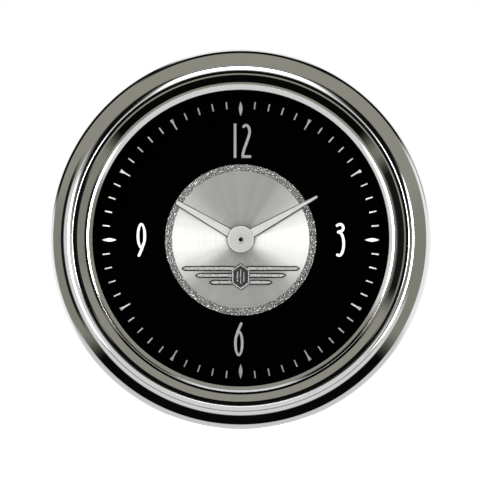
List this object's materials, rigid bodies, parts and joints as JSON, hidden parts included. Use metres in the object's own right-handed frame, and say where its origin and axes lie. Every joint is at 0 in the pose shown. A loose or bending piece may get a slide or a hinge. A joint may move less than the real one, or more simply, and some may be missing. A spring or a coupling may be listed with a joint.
{
  "type": "dashboard clock",
  "caption": "Round panel-mounted dashboard clock with a stepped bright bezel, black dial, turned metal centre disc, two hands, stepping-motor movement and a rear clamp bracket.",
  "frame": {"origin": "on the clock's axis, in the plane where the bezel's rear lip meets the panel", "axes": "+Y along the clock's axis from the dial to the rear, so the dial faces -Y; +Z towards twelve o'clock; +X to the right seen from the front"},
  "size_m": [0.0604, 0.0574, 0.0604],
  "materials": {
    "chrome": "polished",
    "glass": "clear",
    "rubber": "matte",
    "black_plastic": "moulded",
    "dial_black": "satin black",
    "white_print": "printed",
    "turned_aluminium": "circular brushed",
    "bright_metal": "polished",
    "black_enamel": "gloss",
    "acrylic": "translucent",
    "case_paint": "satin black",
    "brass": "lacquered",
    "steel": "plated",
    "hand_paint": "satin",
    "nylon": "moulded",
    "magnet": "ground",
    "soft_iron": "rolled",
    "copper_wire": "enamelled",
    "board": "solder mask",
    "capacitor_sleeve": "sleeved",
    "zinc_plate": "zinc plated",
    "bulb_glass": "clear"
  },
  "bodies": {
    "housing": {"bezel": "chrome", "lens": "glass", "lens_gasket": "rubber", "trim_ring": "black_plastic", "dial_plate": "dial_black", "minute_track": "white_print", "numerals": "white_print", "centre_disc": "turned_aluminium", "disc_ornament": "bright_metal", "ornament_plaque": "black_enamel", "light_diffuser": "acrylic", "case": "case_paint", "dial_posts": "brass", "front_plate": "brass", "back_plate": "brass", "plate_pillars": "brass", "plate_screws": "steel", "motion_post": "steel", "stem_bush": "nylon", "stator": "soft_iron", "stator_posts": "brass", "stator_screws": "steel", "coil_core": "soft_iron", "coil_bobbin": "nylon", "coil_winding": "copper_wire", "circuit_board": "board", "board_spacers": "steel", "board_screws": "steel", "quartz_crystal": "steel", "capacitor": "capacitor_sleeve", "driver_chip": "black_plastic", "standoff_posts": "steel", "mounting_studs": "steel", "stud_jam_nuts": "steel", "terminal_block": "black_plastic", "blade_terminals": "brass"},
    "minute": {"cannon_pinion": "brass", "minute_hand": "hand_paint"},
    "hour": {"hour_wheel": "brass", "hour_hand": "hand_paint"},
    "motion_gear": {"minute_wheel": "brass"},
    "setting": {"set_stem": "steel", "set_knob": "black_plastic"},
    "centre_gear": {"centre_wheel": "brass"},
    "third_gear": {"third_wheel": "brass"},
    "seconds_gear": {"seconds_wheel": "brass"},
    "intermediate_gear": {"intermediate_wheel": "brass"},
    "rotor": {"rotor_pinion": "nylon", "rotor_magnet": "magnet"},
    "clamp": {"bracket": "zinc_plate", "bracket_washers": "steel", "thumb_nuts": "brass"},
    "lamp": {"lamp_socket": "black_plastic", "lamp_bulb": "bulb_glass"}
  },
  "joints": [
    {"name": "minute_turn", "type": "hinge", "parent": "housing", "child": "minute", "pos_m": [0, 0, 0], "axis": [0, 1, 0], "continuous": true},
    {"name": "hour_turn", "type": "hinge", "parent": "housing", "child": "hour", "pos_m": [0, 0.0043, 0], "axis": [0, 1, 0], "continuous": true},
    {"name": "motion_gear_turn", "type": "hinge", "parent": "housing", "child": "motion_gear", "pos_m": [-0.00779, 0.0058, -0.0045], "axis": [0, 1, 0], "continuous": true},
    {"name": "setting_turn", "type": "hinge", "parent": "housing", "child": "setting", "pos_m": [-0.00779, 0.02, -0.0135], "axis": [0, 1, 0], "continuous": true},
    {"name": "seconds_turn", "type": "hinge", "parent": "housing", "child": "seconds_gear", "pos_m": [0.00489, 0.013, 0.01249], "axis": [0, 1, 0], "continuous": true},
    {"name": "third_turn", "type": "hinge", "parent": "housing", "child": "third_gear", "pos_m": [0.00779, 0.012, 0.0045], "axis": [0, 1, 0], "continuous": true},
    {"name": "centre_turn", "type": "hinge", "parent": "housing", "child": "centre_gear", "pos_m": [0, 0.0096, 0], "axis": [0, 1, 0], "continuous": true},
    {"name": "intermediate_turn", "type": "hinge", "parent": "housing", "child": "intermediate_gear", "pos_m": [-0.00258, 0.014, 0.01183], "axis": [0, 1, 0], "continuous": true},
    {"name": "rotor_turn", "type": "hinge", "parent": "housing", "child": "rotor", "pos_m": [-0.00916, 0.013, 0.00944], "axis": [0, 1, 0], "continuous": true},
    {"name": "bracket_slide", "type": "slide", "parent": "housing", "child": "clamp", "axis": [0, 1, 0], "range_m": [0, 0.008]},
    {"name": "lamp_twist", "type": "hinge", "parent": "housing", "child": "lamp", "pos_m": [0, 0.031, 0.015], "axis": [0, 1, 0], "range_deg": [0, 90]}
  ],
  "couplings": [
    {"joint": "hour_turn", "follows": "minute_turn", "ratio": 0.083333},
    {"joint": "motion_gear_turn", "follows": "minute_turn", "ratio": -0.33333},
    {"joint": "setting_turn", "follows": "minute_turn", "ratio": 1},
    {"joint": "third_turn", "follows": "seconds_turn", "ratio": -0.13333},
    {"joint": "centre_turn", "follows": "seconds_turn", "ratio": 0.016667},
    {"joint": "intermediate_turn", "follows": "seconds_turn", "ratio": -5},
    {"joint": "rotor_turn", "follows": "seconds_turn", "ratio": 30}
  ]
}
